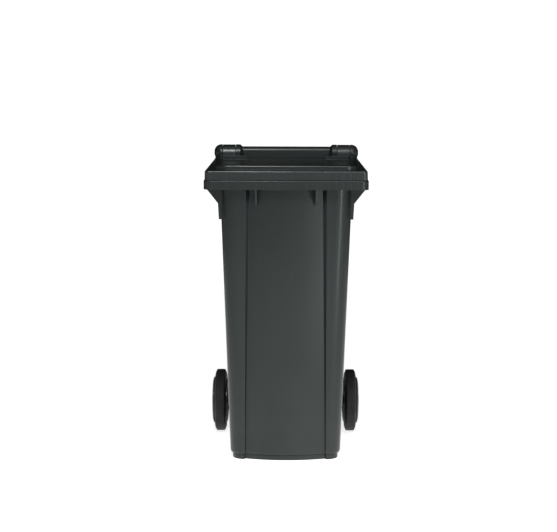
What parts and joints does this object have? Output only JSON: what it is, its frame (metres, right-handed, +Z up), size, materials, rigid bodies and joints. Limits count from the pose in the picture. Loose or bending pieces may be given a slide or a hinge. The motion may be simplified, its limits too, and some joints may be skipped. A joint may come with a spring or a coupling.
{
  "type": "two-wheeled refuse bin",
  "caption": "Tall tapered plastic refuse bin with a flanged comb rim, a flat lid hinged at the rear on a grip bar, and rubber-tyred wheels on a steel axle.",
  "frame": {"origin": "on the floor, at the middle of the overall width and depth", "axes": "+Z up; the front of the bin faces -Y and its handle is at +Y; X runs along the axle"},
  "size_m": [0.48, 0.55, 0.93],
  "materials": {
    "tub_plastic": "moulded polyethylene, charcoal grey, fine satin grain",
    "lid_plastic": "moulded polyethylene, charcoal grey, satin",
    "hub_plastic": "moulded black polypropylene",
    "pin_plastic": "moulded black polyamide",
    "latch_plastic": "moulded grey acetal",
    "tyre_rubber": "solid black rubber, worn and dusty",
    "axle_steel": "plain drawn steel bar, zinc plated",
    "spring_steel": "drawn spring wire"
  },
  "bodies": {
    "bin": {"body": "tub_plastic", "axle": "axle_steel", "hinge_pin_left": "pin_plastic", "hinge_pin_right": "pin_plastic", "spacer_left": "pin_plastic", "spacer_right": "pin_plastic"},
    "lid": {"lid": "lid_plastic"},
    "wheel_left": {"hub_left": "hub_plastic", "tyre_left": "tyre_rubber", "hub_cap_left": "hub_plastic", "latch_spring_left": "spring_steel"},
    "latch_left": {"latch_pin_left": "latch_plastic"},
    "wheel_right": {"hub_right": "hub_plastic", "tyre_right": "tyre_rubber", "hub_cap_right": "hub_plastic", "latch_spring_right": "spring_steel"},
    "latch_right": {"latch_pin_right": "latch_plastic"}
  },
  "joints": [
    {"name": "lid_hinge", "type": "hinge", "parent": "bin", "child": "lid", "pos_m": [0, 0.249, 0.904], "axis": [-1, 0, 0], "range_deg": [0, 270]},
    {"name": "wheel_left_spin", "type": "hinge", "parent": "bin", "child": "wheel_left", "pos_m": [-0.21325, 0.17, 0.1], "axis": [1, 0, 0], "continuous": true},
    {"name": "latch_left_slide", "type": "slide", "parent": "wheel_left", "child": "latch_left", "axis": [0, 0, 1], "range_m": [0, 0.0024], "stiffness_N_per_m": 300, "springref_m": -0.002, "deforming": ["latch_spring_left"]},
    {"name": "wheel_right_spin", "type": "hinge", "parent": "bin", "child": "wheel_right", "pos_m": [0.21325, 0.17, 0.1], "axis": [1, 0, 0], "continuous": true},
    {"name": "latch_right_slide", "type": "slide", "parent": "wheel_right", "child": "latch_right", "axis": [0, 0, 1], "range_m": [0, 0.0024], "stiffness_N_per_m": 300, "springref_m": -0.002, "deforming": ["latch_spring_right"]}
  ]
}
